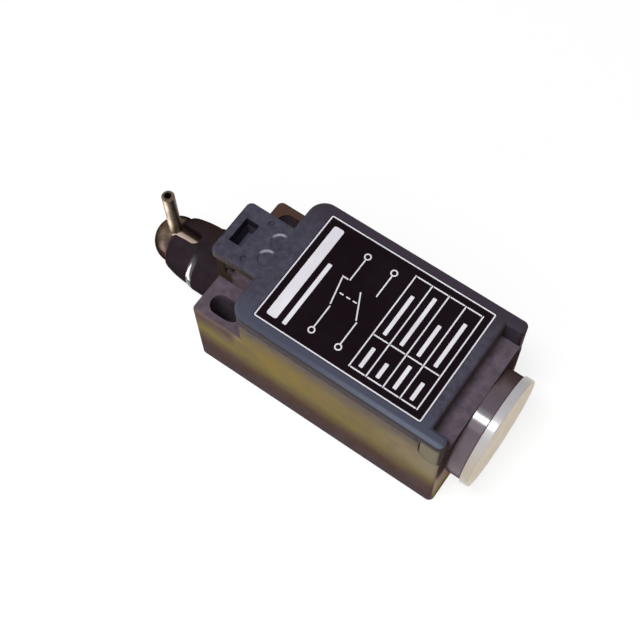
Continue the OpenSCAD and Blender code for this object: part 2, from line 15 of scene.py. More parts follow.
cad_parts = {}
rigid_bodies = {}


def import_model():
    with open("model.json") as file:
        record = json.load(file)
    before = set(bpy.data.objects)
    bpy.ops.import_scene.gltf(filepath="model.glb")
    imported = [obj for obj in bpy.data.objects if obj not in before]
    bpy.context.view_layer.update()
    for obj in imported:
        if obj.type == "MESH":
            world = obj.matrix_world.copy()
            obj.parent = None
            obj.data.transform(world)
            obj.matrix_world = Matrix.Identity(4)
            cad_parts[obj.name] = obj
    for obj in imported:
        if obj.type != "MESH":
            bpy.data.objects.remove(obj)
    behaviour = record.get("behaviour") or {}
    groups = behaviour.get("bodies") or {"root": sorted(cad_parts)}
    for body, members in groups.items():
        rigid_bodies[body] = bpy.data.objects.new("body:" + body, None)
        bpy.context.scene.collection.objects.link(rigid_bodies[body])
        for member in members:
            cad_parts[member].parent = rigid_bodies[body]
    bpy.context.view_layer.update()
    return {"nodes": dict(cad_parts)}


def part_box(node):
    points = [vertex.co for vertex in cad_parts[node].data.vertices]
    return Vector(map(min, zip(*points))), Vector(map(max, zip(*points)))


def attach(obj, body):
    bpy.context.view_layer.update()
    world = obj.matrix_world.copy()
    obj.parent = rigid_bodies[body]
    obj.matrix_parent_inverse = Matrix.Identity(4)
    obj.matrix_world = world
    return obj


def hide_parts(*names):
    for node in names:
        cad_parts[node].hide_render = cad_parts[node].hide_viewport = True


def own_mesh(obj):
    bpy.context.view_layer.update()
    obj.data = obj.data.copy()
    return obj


for startup_object in list(bpy.data.objects):
    bpy.data.objects.remove(startup_object)
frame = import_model()
nodes = frame["nodes"]
MM = 0.001

# %% [markdown]
# ## The camera
# The switch lies on its back and is seen from 65 degrees up, over the cable-entry corner. A camera can
# be turned by eye until it looks right. Here its place and its three directions come from a fit to the
# edges of housing, lid and label, because then the edges fall where they should without any shift.

# %% Camera
CAMERA_PLACE = Vector((76.30, -81.42, 236.06)) * MM
CAMERA_RIGHT = Vector((0.81574, 0.57823, -0.01467))
CAMERA_UP = Vector((-0.52054, 0.74494, 0.41725))
CAMERA_BACK = Vector((0.25220, -0.33274, 0.90867))
FOCAL_IN_PIXELS = 1215.95
PICTURE_SIDE = 640
SENSOR_MM = 36.0
NEAREST_M, FARTHEST_M = 0.01, 20.0


def standing(place, right, up, back):
    """The matrix of a thing at a place whose own X, Y and Z point right, up and back."""
    return Matrix.Translation(place) @ Matrix((right, up, back)).transposed().to_4x4()


lens = bpy.data.cameras.new("photo_camera")
lens.sensor_width = SENSOR_MM
lens.lens = SENSOR_MM * FOCAL_IN_PIXELS / PICTURE_SIDE
lens.clip_start, lens.clip_end = NEAREST_M, FARTHEST_M
camera = bpy.data.objects.new("photo_camera", lens)
camera.matrix_world = standing(CAMERA_PLACE, CAMERA_RIGHT, CAMERA_UP, CAMERA_BACK)
bpy.context.scene.collection.objects.link(camera)
bpy.context.scene.camera = camera
print("lens in mm:", round(lens.lens, 2))

# %% [markdown]
# ## Small tools for finishes
# Colours are written as the hex values that a picture editor shows, so one function turns them into
# the linear numbers that a shader works with. A finish could be wired by hand in the node editor. A
# script needs one function that adds a node with its settings and links, and all else builds on it.


# %% Colour and node
def linear(code):
    """RGBA of a hex colour: c becomes c / 12.92 up to 0.04045, and ((c + 0.055) / 1.055) ^ 2.4 above it."""
    srgb = np.array([int(code[i:i + 2], 16) for i in (1, 3, 5)]) / 255.0
    low, high = srgb / 12.92, ((srgb + 0.055) / 1.055) ** 2.4
    return (*np.where(srgb <= 0.04045, low, high).tolist(), 1.0)


def put(tree, kind, inputs=None, **settings):
    """Add one node of a kind with its settings. An input is set to a number, or linked if given a socket."""
    node = tree.nodes.new("ShaderNode" + kind)
    for name, setting in settings.items():
        setattr(node, name, setting)
    for name, source in (inputs or {}).items():
        if isinstance(source, bpy.types.NodeSocket):
            tree.links.new(source, node.inputs[name])
        else:
            node.inputs[name].default_value = source
    return node


def new_finish(name, **fixed):
    """A material with its output, its Principled shader and Object coordinates in metres.

    Numbers that are the same all over the surface are set on the shader's own sockets."""
    material = bpy.data.materials.new(name)
    material.use_nodes = True
    tree = material.node_tree
    tree.nodes.clear()
    shader = put(tree, "BsdfPrincipled", {key.replace("_", " "): number for key, number in fixed.items()})
    put(tree, "OutputMaterial", {"Surface": shader.outputs["BSDF"]})
    return material, tree, shader, put(tree, "TexCoord").outputs["Object"]


print("middle grey in linear numbers:", [round(channel, 3) for channel in linear("#808080")])

# %% [markdown]
# ## Moulded plastics
# Housing and lid are glass-filled polyamide out of a spark-eroded mould: a matt skin with a fine
# grain, and clouds where the melt flowed. A single colour would look like paint. One recipe of two
# noises makes every moulded piece instead, and only colours, gloss and the sizes of the noises differ.
# The real grain is about a tenth of a millimetre and is drawn a few times coarser, so that it shows.


# %% Moulded recipe
def dress(tree, shader, colour_noise, dark, pale, fine_noise, smoothest, roughest, depth_mm):
    """Drive a shader by two noises: one runs its colour between two stops, one its roughness and bump."""
    shade = put(tree, "ValToRGB", {"Fac": colour_noise.outputs["Fac"]})
    for element, (position, code) in zip(shade.color_ramp.elements, (dark, pale)):
        element.position, element.color = position, linear(code)
    fine = fine_noise.outputs["Fac"]
    gloss = put(tree, "MapRange", {"Value": fine, "To Min": smoothest, "To Max": roughest})
    bump = put(tree, "Bump", {"Height": fine, "Strength": 1.0, "Distance": depth_mm * MM})
    tree.links.new(shade.outputs["Color"], shader.inputs["Base Color"])
    tree.links.new(gloss.outputs["Result"], shader.inputs["Roughness"])
    tree.links.new(bump.outputs["Normal"], shader.inputs["Normal"])


CLOUD_DARK, CLOUD_PALE = 0.36, 0.68
GRAIN_SMOOTHER, GRAIN_ROUGHER = 0.07, 0.09


def moulded(name, dark, pale, roughness, grain_mm, depth_mm, cloud_mm=7.0, **fixed):
    """Plastic or rubber: colour runs from dark to pale along clouds, gloss and bump follow the grain.

    A noise of scale s repeats about every 1 / s metres, so each scale is one over the real size."""
    material, tree, shader, place = new_finish(name, **fixed)
    cloud = put(tree, "TexNoise", {"Vector": place, "Scale": 1 / (cloud_mm * MM), "Detail": 4.0,
                                   "Roughness": 0.55})
    grain = put(tree, "TexNoise", {"Vector": place, "Scale": 1 / (grain_mm * MM), "Detail": 2.0})
    dress(tree, shader, cloud, (CLOUD_DARK, dark), (CLOUD_PALE, pale), grain,
          roughness - GRAIN_SMOOTHER, roughness + GRAIN_ROUGHER, depth_mm)
    return material


print("clouds run between noise values", CLOUD_DARK, "and", CLOUD_PALE)

# %% [markdown]
# ## Zones of a piece
# A moulding is never one even colour: handling, light and dirt leave zones on it. A zone could be
# painted on an unwrapped picture. Here it is a mask worked out from the place on the piece, in
# millimetres, so it needs no picture and stays on its wall when the piece moves.


# %% Zones
def inside(material):
    """The node tree of a finish, its shader, its Object coordinates, and sockets of X, Y, Z and of |Y|."""
    tree = material.node_tree
    shader = next(node for node in tree.nodes if node.type == "BSDF_PRINCIPLED")
    place = next(node for node in tree.nodes if node.type == "TEX_COORD").outputs["Object"]
    axes = put(tree, "SeparateXYZ", {"Vector": place}).outputs
    at = {axis: axes[axis] for axis in "XYZ"}
    at["aside"] = put(tree, "Math", {0: at["Y"]}, operation="ABSOLUTE").outputs[0]
    return tree, shader, place, at


def zone(tree, at, *bounds, factors=()):
    """A mask in one part of a piece: the product of some factors and of one smooth rise for each bound.

    A bound names an axis, the place in mm where its rise leaves zero, and the place where it reaches one."""
    masks = list(factors)
    for axis, start_mm, end_mm in bounds:
        inputs = {"Value": at[axis], "From Min": start_mm * MM, "From Max": end_mm * MM}
        masks.append(put(tree, "MapRange", inputs, interpolation_type="SMOOTHSTEP").outputs["Result"])
    product = masks[0]
    for mask in masks[1:]:
        product = put(tree, "Math", {0: product, 1: mask}, operation="MULTIPLY").outputs[0]
    return product


print("zone tools:", inside.__name__, zone.__name__)

# %% [markdown]
# ## Colours in zones
# On the real switch one stain lies over another, and dirt fades along a wall. In the node editor a new
# zone would mean a new Mix node, dragged into the wire that feeds the shader. The first function does
# just that: it mixes what feeds a socket now with something else and plugs the result back in, so zones
# can lie one over another. The second gives a colour that changes along the piece.


# %% Colours in zones
def blend_to(tree, socket, mask, goal):
    """Where the mask rises to one, a socket goes from what fed it to another number, colour or source."""
    coloured = socket.type == "RGBA"
    before = socket.links[0].from_socket if socket.is_linked else socket.default_value
    # The Mix node keeps sockets apart for colours and for numbers, under the same names
    first, second, result = (6, 7, 2) if coloured else (2, 3, 0)
    kind = "RGBA" if coloured else "FLOAT"
    node = put(tree, "Mix", {0: mask, first: before, second: goal}, data_type=kind)
    tree.links.new(node.outputs[result], socket)


def colours_along(tree, value, stops):
    """A colour that runs through given hex colours at given places in mm."""
    first, last = stops[0][0], stops[-1][0]
    share = put(tree, "MapRange", {"Value": value, "From Min": first * MM, "From Max": last * MM})
    node = put(tree, "ValToRGB", {"Fac": share.outputs["Result"]})
    elements = node.color_ramp.elements
    for place_mm, code in stops[1:-1]:
        elements.new((place_mm - first) / (last - first)).color = linear(code)
    elements[0].color, elements[-1].color = linear(stops[0][1]), linear(stops[-1][1])
    return node.outputs["Color"]


print("blending tools:", blend_to.__name__, colours_along.__name__)

# %% [markdown]
# ## Housing: painted reflection on the flanks
# The walls are grained black polyamide. Both flanks carry a warm painted reflection of a table beside
# them, strongest at half height and fading towards the mounting face, and weaker on the far side. It
# could be a second layer of material. A run of colours by height is simpler, and two noises keep it
# from looking ruled: one lets the height drift, the other thins the painted reflection in patches.

# %% Painted reflection on the flanks
FLANKS = ("aside", 14.4, 14.8)
# Painted reflection: warm colours by height in mm
FLANK_REFLECTION_COLOURS = [(0, "#483e44"), (5, "#4a3a37"), (8, "#504037"), (11, "#65583c"), (14, "#746944"),
                 (18, "#776948"), (22, "#776a4b"), (25.5, "#695f54"), (28, "#615b55")]
DRIFT, DRIFT_SIZE = 3.0, 9.0
PATCH_SIZE, PATCH_THIN, PATCH_WHOLE, PATCH_LEAST_SHARE = 4.0, 0.35, 0.6, 0.72
FAR_Y, NEAR_Y, FAR_REFLECTION_SHARE = 5, -5, 0.5

# Matt black with a purple cast and no mirror of its own
housing_polyamide = moulded("black_polyamide_moulded", "#4d444d", "#5d525c", roughness=0.5, grain_mm=0.32,
                            depth_mm=0.012, cloud_mm=1.6, Specular_IOR_Level=0.0, Coat_Roughness=0.14)
tree, shader, place, at = inside(housing_polyamide)
drift = put(tree, "TexNoise", {"Vector": place, "Scale": 1 / (DRIFT_SIZE * MM), "Detail": 3.0})
lowered = put(tree, "Math", {0: at["Z"], 1: DRIFT / 2 * MM}, operation="SUBTRACT")
uneven = put(tree, "Math", {0: drift.outputs["Fac"], 1: DRIFT * MM, 2: lowered.outputs[0]},
             operation="MULTIPLY_ADD")
patchy = put(tree, "TexNoise", {"Vector": place, "Scale": 1 / (PATCH_SIZE * MM), "Detail": 4.0})
patch_share = put(tree, "MapRange", {"Value": patchy.outputs["Fac"], "From Min": PATCH_THIN,
                              "From Max": PATCH_WHOLE, "To Min": PATCH_LEAST_SHARE})
near = put(tree, "MapRange", {"Value": at["Y"], "From Min": FAR_Y * MM, "From Max": NEAR_Y * MM,
                              "To Min": FAR_REFLECTION_SHARE}, interpolation_type="SMOOTHSTEP")
# Mask of the painted reflection: both flanks, thinned in patches, half as strong on the far side
flank_reflection = zone(tree, at, FLANKS, factors=(patch_share.outputs["Result"], near.outputs["Result"]))
blend_to(tree, shader.inputs["Base Color"], flank_reflection, colours_along(tree, uneven.outputs[0], FLANK_REFLECTION_COLOURS))
print("housing nodes with the bloom:", len(tree.nodes))

# %% [markdown]
# ## Housing: shifts in the painted reflection
# At half height the painted reflection is yellower towards the head and greyer towards the entry, and
# beside the mounting lug it is browner. These shifts could have noises of their own. Here each is a
# zone times the reflection's mask, so where the patches thin the reflection the shift thins too.

# %% Shifts in the painted reflection
HALF_HEIGHT = ("Z", 11, 18), ("Z", 27, 23)
# Painted reflection: yellower, greyer and browner shifts of it
YELLOWER_REFLECTION, YELLOW_SHARE = ("#806e3e", ("X", 3, 13), ("X", 32, 15)), 0.6
GREYER_REFLECTION, GREY_SHARE = ("#82796b", ("X", 34, 52)), 0.75
LUG_FLANK_REFLECTION = "#584849", ("X", 5.5, 3.5), ("Z", 14, 20)


def tint(tree, shader, at, colour, *bounds, factors=()):
    """Give one zone of a piece another colour."""
    blend_to(tree, shader.inputs["Base Color"], zone(tree, at, *bounds, factors=factors), linear(colour))


# Painted reflection: each shift lies only where the painted reflection on the flanks lies
reflection_at_half_height = zone(tree, at, *HALF_HEIGHT, factors=(flank_reflection,))
tint(tree, shader, at, *YELLOWER_REFLECTION, factors=(reflection_at_half_height, YELLOW_SHARE))
tint(tree, shader, at, *GREYER_REFLECTION, factors=(reflection_at_half_height, GREY_SHARE))
tint(tree, shader, at, *LUG_FLANK_REFLECTION, factors=(flank_reflection,))
print("housing nodes with the stains:", len(tree.nodes))

# %% [markdown]
# ## Housing: painted shade, reflection and light on the walls
# The wall beside the lid's tongue gets painted shade, the top of the far lug a darker brown painted
# reflection, and the pit under its window a bluish grey, painted light in its shade. The end wall takes
# a pale painted reflection low down and painted shade above. Faces could be given materials one by one,
# but this is one moulding, so each wall is a zone of the same finish, and the end wall takes a run of
# colours by height.

# %% Walls of the housing
# Painted shade on the wall beside the tongue
NOTCH_WALL_SHADE = "#342a24", ("X", -1.6, -2.6), ("Z", 20.55, 21.2), ("aside", 5.2, 5.8)
# Painted reflection: a darker brown on the top of the far lug
FAR_LUG_REFLECTION = "#4a3832", ("X", 4.6, 4.2), ("Y", 7, 9), ("Z", 19.4, 20.4)
# Painted light: a bluish grey in the shaded pit under the window
PIT_WALL_LIGHT = "#4c4759", ("X", -4.9, -4.5), ("X", -1.0, -1.2), ("aside", 3.4, 3.0)
END_WALL = ("X", 51.6, 51.9), ("Z", 26.2, 25.8)
# Painted reflection low on the end wall, pale from 5 to 12 mm up, and painted shade above 15 mm
END_REFLECTION_AND_SHADE_COLOURS = [(0, "#5f5038"), (5, "#8a7a58"), (8, "#9c8678"), (12, "#9c8678"), (15, "#4a3a36"),
               (26, "#3c2e2e")]

for wall in (NOTCH_WALL_SHADE, FAR_LUG_REFLECTION, PIT_WALL_LIGHT):
    tint(tree, shader, at, *wall)
end_reflection_and_shade = colours_along(tree, at["Z"], END_REFLECTION_AND_SHADE_COLOURS)
blend_to(tree, shader.inputs["Base Color"], zone(tree, at, *END_WALL), end_reflection_and_shade)
print("housing nodes with the walls:", len(tree.nodes))

# %% [markdown]
# ## Housing: polished neck
# The neck round the cable entry is a polished ring of the same moulding. Making the whole housing
# glossy would whiten its flanks. So only the neck loses most of its grain, and its upper near side
# gets a clear coat that mirrors a lamp as a streak. Its foot gets a warm painted reflection, and its
# far side painted shade.

# %% Neck of the housing
BEYOND_WALL = ("X", 52.05, 52.15)
NECK = "#564b55", BEYOND_WALL
# Painted reflection, warm, at the neck's foot, and painted shade on its far side
NECK_FOOT_REFLECTION = "#7a675c", BEYOND_WALL, ("Z", 13, 7)
NECK_FAR_SHADE = "#4a3b3b", BEYOND_WALL, ("Y", -1, 8)
POLISHED = BEYOND_WALL, ("Y", 7, 3), ("Z", 12.5, 16.5)
NECK_GRAIN, NECK_COAT = 0.1, 0.85

for tone in (NECK, NECK_FOOT_REFLECTION, NECK_FAR_SHADE):
    tint(tree, shader, at, *tone)
grain_bump = shader.inputs["Normal"].links[0].from_node
blend_to(tree, grain_bump.inputs["Strength"], zone(tree, at, BEYOND_WALL), NECK_GRAIN)
blend_to(tree, shader.inputs["Coat Weight"], zone(tree, at, *POLISHED), NECK_COAT)
print("housing nodes with the neck:", len(tree.nodes))

# %% [markdown]
# ## Lid
# The lid is a greyer batch of the same plastic, with painted light along its near edge, painted shade
# in brown along the far one, and a painted glint on its near bevel. Its sides and ears carry the
# housing's painted reflection, and the upright faces of the tongue, the ends and the pry window get
# painted shade. The lid could be cut into pieces of several colours. Zones leave it one mesh with one
# finish, as the real one is one moulding.

# %% Lid finish
# Painted light along the near edge and painted shade along the far one
LID_NEAR_LIGHT = "#424453", ("Y", -8, -14)
LID_FAR_SHADE = "#352e38", ("Y", 6, 14)
# Painted highlight: a glint on the near bevel that grows towards the entry
LID_GLINT = "#555a69", ("Y", -14.0, -14.5), ("X", 14, 42)
UPRIGHT = ("Z", 31.5, 31.25)
LID_SIDES = ("aside", 14.4, 14.7), UPRIGHT
# Painted reflection on the lid's sides, warm below and dark above, and paler low on the ears
LID_SIDE_REFLECTION_COLOURS = [(29.0, "#4c483f"), (29.6, "#454240"), (30.3, "#363335"), (31.3, "#2f2d35")]
EAR_FLANK_REFLECTION = "#6e6757", *LID_SIDES, ("X", 46, 47), ("Z", 29.6, 28.6)
# Painted shade on the lid's end face, the ears' ends, the tongue's sides, its snap legs and the pry window
LID_END_SHADE = "#2d2022", ("X", 47.6, 47.8), ("aside", 12.4, 12.2), ("Z", 31.8, 31.5)
EAR_END_SHADE = "#2d2022", ("X", 51.1, 51.6), ("Z", 31.6, 31.3)
TONGUE_SIDES = ("X", 4.2, 3.4), ("aside", 5.2, 6.0)
TONGUE_FLANK_SHADE = "#3a302d", *TONGUE_SIDES, UPRIGHT
SNAP_LEG_SHADE = "#191213", *TONGUE_SIDES, ("Z", 29.45, 29.2)
PRY_WALL_SHADE = "#25212d", ("aside", 3.2, 3.0), ("X", -1.1, -1.25), ("Z", 31.95, 31.7)

# Matt slate grey with a faint mirror
lid_polyamide = moulded("grey_polyamide_moulded", "#373541", "#45434f", roughness=0.55, grain_mm=0.36,
                        depth_mm=0.014, cloud_mm=1.3, Specular_IOR_Level=0.03)
tree, shader, place, at = inside(lid_polyamide)
for strip in (LID_NEAR_LIGHT, LID_FAR_SHADE, LID_GLINT):
    tint(tree, shader, at, *strip)
lid_side_reflection = colours_along(tree, at["Z"], LID_SIDE_REFLECTION_COLOURS)
blend_to(tree, shader.inputs["Base Color"], zone(tree, at, *LID_SIDES), lid_side_reflection)
for wall in (EAR_FLANK_REFLECTION, LID_END_SHADE, EAR_END_SHADE, TONGUE_FLANK_SHADE, SNAP_LEG_SHADE, PRY_WALL_SHADE):
    tint(tree, shader, at, *wall)
print("lid nodes:", len(tree.nodes))

# %% [markdown]
# ## Lid: lips of the round recesses
# Two shallow round recesses in the tongue get a painted highlight along one side of their lips. A
# rounded edge would catch it as light, but the line is thinner than a bevel can hold here. So it is a
# pale arc in the colour: a ring round each recess, times how far it faces one way.

# %% Lips of the round recesses
RECESS_X, RECESS_Y, RECESS_R = 4.0, 2.1, 1.8
# Painted highlight: colour and half width of the pale arc on the lips
LIP_HIGHLIGHT_COLOUR, LIP_HALF_WIDTH = "#8f8d99", 0.17
LIP_SIDE, LIP_REACH = (-0.58, 0.81, 0), ("facing", 1.0, 1.7)


def from_axis(tree, place, centre_mm, across):
    """The vector from an axis to a place: place minus a point on the axis, kept only across the axis."""
    point = tuple(number * MM for number in centre_mm)
    over = put(tree, "VectorMath", {0: place, 1: point}, operation="SUBTRACT").outputs["Vector"]
    return put(tree, "VectorMath", {0: over, 1: across}, operation="MULTIPLY").outputs["Vector"]


for side in (-1, 1):
    out = from_axis(tree, place, (RECESS_X, side * RECESS_Y, 0), (1, 1, 0))
    radius = put(tree, "VectorMath", {0: out}, operation="LENGTH").outputs["Value"]
    facing = put(tree, "VectorMath", {0: out, 1: LIP_SIDE}, operation="DOT_PRODUCT").outputs["Value"]
    ring = put(tree, "Math", {0: radius, 1: RECESS_R * MM, 2: LIP_HALF_WIDTH * MM}, operation="COMPARE")
    tint(tree, shader, {"facing": facing}, LIP_HIGHLIGHT_COLOUR, LIP_REACH, factors=(ring.outputs[0],))
print("lid nodes with the lips:", len(tree.nodes))

# %% [markdown]
# ## Sleeve
# The sleeve is black polyester, finer and darker than the housing, with a browner painted reflection
# on its far side. The collar's rounded shoulder is worn to a polish. That could be a separate ring, but
# on the real one it is the same moulding, so it is a clear coat over a band of the same finish.

# %% Sleeve finish
# Painted reflection: browner on the far side
SLEEVE_FAR_REFLECTION = "#2f2321", ("Y", 0, 5)
SHOULDER_X, SHOULDER_HALF_WIDTH = -14.3, 0.75
SHOULDER_NEAR = ("Y", -2.5, -5)

# Even black with a silky skin
sleeve_polyester = moulded("black_polyester", "#251e23", "#2d252a", roughness=0.36, grain_mm=0.5,
                           depth_mm=0.001, cloud_mm=3.0, Specular_IOR_Level=0.0, Coat_Roughness=0.1,
                           Coat_IOR=1.75)
tree, shader, place, at = inside(sleeve_polyester)
tint(tree, shader, at, *SLEEVE_FAR_REFLECTION)
shoulder = put(tree, "Math", {0: at["X"], 1: SHOULDER_X * MM, 2: SHOULDER_HALF_WIDTH * MM},
               operation="COMPARE")
worn_smooth = zone(tree, at, SHOULDER_NEAR, factors=(shoulder.outputs[0],))
blend_to(tree, shader.inputs["Coat Weight"], worn_smooth, 1.0)
print("moulded plastics:", housing_polyamide.name, lid_polyamide.name, sleeve_polyester.name)

# %% [markdown]
# ## Metals
# The plunger is turned steel: fine rings about its own axis, which runs along X. The hand pin is a
# rolled tube with draw lines along Z. Springs are drawn wire, screws are plated, and the contacts are
# stamped brass and copper with a little tarnish. Anisotropic gloss could show such lines, but it needs
# a tangent on every face. A noise that is long along the lines and short across them does it on any
# shape. Real lines are some hundredths of a millimetre apart. They are drawn at 0.16 to 0.25 mm, so
# that they show.

# %% Worked metal recipe
TARNISHED, CLEAN, TARNISH_PATCH = 0.38, 0.62, 2.5
LINE_SMOOTHER, LINE_ROUGHER = 0.06, 0.1


def worked_metal(name, colour, tarnish, roughness, line_mm, stretch, depth_mm, **fixed):
    """Metal with lines: noise on coordinates stretched per axis, fine across the lines, long along them."""
    material, tree, shader, place = new_finish(name, Metallic=1.0, **fixed)
    along = put(tree, "Mapping", {"Vector": place, "Scale": stretch}).outputs["Vector"]
    lines = put(tree, "TexNoise", {"Vector": along, "Scale": 1 / (line_mm * MM), "Detail": 3.0})
    patch = put(tree, "TexNoise", {"Vector": place, "Scale": 1 / (TARNISH_PATCH * MM), "Detail": 4.0})
    dress(tree, shader, patch, (TARNISHED, tarnish), (CLEAN, colour), lines,
          roughness - LINE_SMOOTHER, roughness + LINE_ROUGHER, depth_mm)
    return material


ROUND_X, ALONG_Z, ALONG_Y = (1.0, 0.06, 0.06), (1.0, 1.0, 0.05), (1.0, 0.08, 1.0)
# Half-bright steel that turns dark at the rim of the dome
plunger_steel = worked_metal("turned_steel", "#76685a", "#5a4c40", roughness=0.36, line_mm=0.16,
                             stretch=ROUND_X, depth_mm=0.004, Specular_IOR_Level=0.0,
                             Specular_Tint=linear("#4a3b2e"))
# Duller steel with a warm cast
pin_steel = worked_metal("rolled_pin_steel", "#7d6e5e", "#5c4e40", roughness=0.46, line_mm=0.2,
                         stretch=ALONG_Z, depth_mm=0.004)
# Grey wire with a soft sheen
spring_steel = worked_metal("spring_wire", "#8d8a86", "#6d6a67", roughness=0.34, line_mm=0.2,
                            stretch=ROUND_X, depth_mm=0.003)
# Bright, slightly yellow plating
screw_zinc = worked_metal("zinc_plated_steel", "#c9c7bf", "#a9a79c", roughness=0.34, line_mm=0.25,
                          stretch=ALONG_Y, depth_mm=0.004)
# Yellow metal and red metal, each browned in patches
contact_brass = worked_metal("stamped_brass", "#c9a45a", "#a07b3e", roughness=0.32, line_mm=0.25,
                             stretch=ALONG_Z, depth_mm=0.004)
contact_copper = worked_metal("stamped_copper", "#c08457", "#94603c", roughness=0.32, line_mm=0.25,
                              stretch=ALONG_Y, depth_mm=0.004)
metals = (plunger_steel, pin_steel, spring_steel, screw_zinc, contact_brass, contact_copper)
print("metals:", [metal.name for metal in metals])

# %% [markdown]
# ## Plunger: painted shade, reflection and highlight
# The dome is brightest on top. Its sides get a dark painted reflection and its lower half painted
# shade, and a dark band lies low by the sleeve's edge. Under the slot the steel is dull and darkened
# by painted shade, with a pale painted highlight strip. These marks could be modelled as skins over the
# steel. They have no thickness that shows, so they are zones, and the dark band also loses the metallic
# shine.

# %% Plunger zones
# Painted reflection, dark, on the dome's sides, and painted shade under it
DOME_SIDES_DARK_REFLECTION = "#38322f", ("aside", 1.8, 4.2)
DOME_BELOW_SHADE, BELOW_SHADE_SHARE = ("#33281f", ("Z", 11.7, 10.1)), 0.85
IN_SLOT = ("X", -22.4, -21.8)
# Painted shade on the steel under the slot, with a painted highlight strip
SLOT_FLOOR_SHADE, SLOT_ROUGHNESS = ("#3a2c28", IN_SLOT), 0.5
SLOT_HIGHLIGHT_STRIP = "#a08f84", IN_SLOT, ("Y", 0.2, -0.3), ("Y", -1.8, -1.5)
# A dark band low on the dome by the sleeve's edge, which also loses its metallic shine
DARK_BAND_COLOUR = "#2c2120"
DARK_BAND = ("X", -24.6, -23.8), ("X", -21.8, -22.2), ("Z", 10.9, 10.1)

tree, shader, place, at = inside(plunger_steel)
tint(tree, shader, at, *DOME_SIDES_DARK_REFLECTION)
tint(tree, shader, at, *DOME_BELOW_SHADE, factors=(BELOW_SHADE_SHARE,))
tint(tree, shader, at, *SLOT_FLOOR_SHADE)
tint(tree, shader, at, *SLOT_HIGHLIGHT_STRIP)
tint(tree, shader, at, DARK_BAND_COLOUR, *DARK_BAND)
blend_to(tree, shader.inputs["Roughness"], zone(tree, at, IN_SLOT), SLOT_ROUGHNESS)
blend_to(tree, shader.inputs["Metallic"], zone(tree, at, *DARK_BAND), 0.0)
print("plunger nodes:", len(tree.nodes))

# %% [markdown]
# ## Plug
# The plug is natural polyethylene, pale and dull on its face, with a smooth rim that mirrors a lamp.
# Light bleeding into it would be nearer to the real plastic, but takes many more samples to come out
# clean, so its warmth is in the colour alone. The rim is found by its distance from the entry's axis,
# and a clear coat polishes it.

# %% Plug finish
ENTRY_AXIS_Z = 14.5
RIM = ("radius", 11.75, 11.95)
# Painted reflection: the rim is greyer than the face, and bluish towards its top
RIM_REFLECTION_COLOURS = [(4, "#a1988a"), (19, "#a1988a"), (25, "#a5a2a6")]

# Pale, warm and waxy
plug_polyethylene = moulded("natural_polyethylene", "#cfbda4", "#d9c9b4", roughness=0.4, grain_mm=1.2,
                            depth_mm=0.0003, cloud_mm=5.0, Specular_IOR_Level=0.08, Coat_Roughness=0.2)
tree, shader, place, at = inside(plug_polyethylene)
out = from_axis(tree, place, (0, 0, ENTRY_AXIS_Z), (0, 1, 1))
at["radius"] = put(tree, "VectorMath", {0: out}, operation="LENGTH").outputs["Value"]
rim = zone(tree, at, RIM)
blend_to(tree, shader.inputs["Base Color"], rim, colours_along(tree, at["Z"], RIM_REFLECTION_COLOURS))
blend_to(tree, shader.inputs["Coat Weight"], rim, 1.0)
print("plug nodes:", len(tree.nodes))

# %% [markdown]
# ## Seals, block, carriage and label film
# The seals are pressed nitrile rubber, with silicone under the plug. The contact block is melamine, the
# carriage that moves in it polyester, and the label a film with print on it. Each could have a recipe
# of its own, but all are smooth skins with a grain too fine to tell apart, so the moulded recipe makes
# them with other colours and another gloss. Their grain too is drawn coarser than it is.

# %% Softer finishes
# Dull black that hardly mirrors
seal_rubber = moulded("black_nitrile_rubber", "#161415", "#1f1c1d", roughness=0.7, grain_mm=0.2,
                      depth_mm=0.006, Specular_IOR_Level=0.25)
# Soft even grey
plug_silicone = moulded("grey_silicone_rubber", "#8f8a86", "#9a9591", roughness=0.6, grain_mm=0.3,
                        depth_mm=0.002, Specular_IOR_Level=0.1)
# Brownish grey with a speckle
block_melamine = moulded("grey_melamine", "#4b4741", "#5d5850", roughness=0.45, grain_mm=0.4, depth_mm=0.006,
                         cloud_mm=1.2)
# Half glossy red
carriage_polyester = moulded("red_polyester", "#7d271f", "#93332a", roughness=0.36, grain_mm=0.5,
                             depth_mm=0.004)
# Near-black film that stays dark under the lamps
label_film = moulded("black_label_film", "#130b10", "#171015", roughness=0.3, grain_mm=0.25, depth_mm=0.001,
                     Specular_IOR_Level=0.03)
# Pale matt ink
label_print = moulded("white_label_print", "#c4c2ca", "#d2d0d8", roughness=0.5, grain_mm=0.2, depth_mm=0.001,
                      Specular_IOR_Level=0.1)
softer = (seal_rubber, plug_silicone, block_melamine, carriage_polyester, label_film, label_print)
print("softer finishes:", [finish.name for finish in softer])

# %% [markdown]
# ## Finishes on the solid pieces
# Each solid takes the finish of what it is made of. They could be set one by one, but then a forgotten
# piece would go unseen, so one table holds them all and the count is printed.

# %% Finishes on the solid pieces
FINISHES = {
    housing_polyamide: ["housing"],
    lid_polyamide: ["lid"],
    sleeve_polyester: ["guide_sleeve"],
    seal_rubber: ["lid_seal", "plunger_ring"],
    plug_silicone: ["plug_seal"],
    plunger_steel: ["plunger"],
    pin_steel: ["reset_pin", "hinge_pins"],
    spring_steel: ["return_spring", "latch_clip", "contact_spring"],
    plug_polyethylene: ["entry_plug"],
    block_melamine: ["contact_block"],
    carriage_polyester: ["carriage"],
    contact_copper: ["opening_bridge", "closing_bridge"],
    contact_brass: ["opening_contact_near", "opening_contact_far", "closing_contact_near",
                    "closing_contact_far"],
    screw_zinc: ["terminal_screws", "clamp_plates", "block_screws"],
}
for finish, names in FINISHES.items():
    for name in names:
        mesh = nodes[name].data
        mesh.materials.clear()
        mesh.materials.append(finish)
print("finished nodes:", sum(len(names) for names in FINISHES.values()), "of", len(nodes))

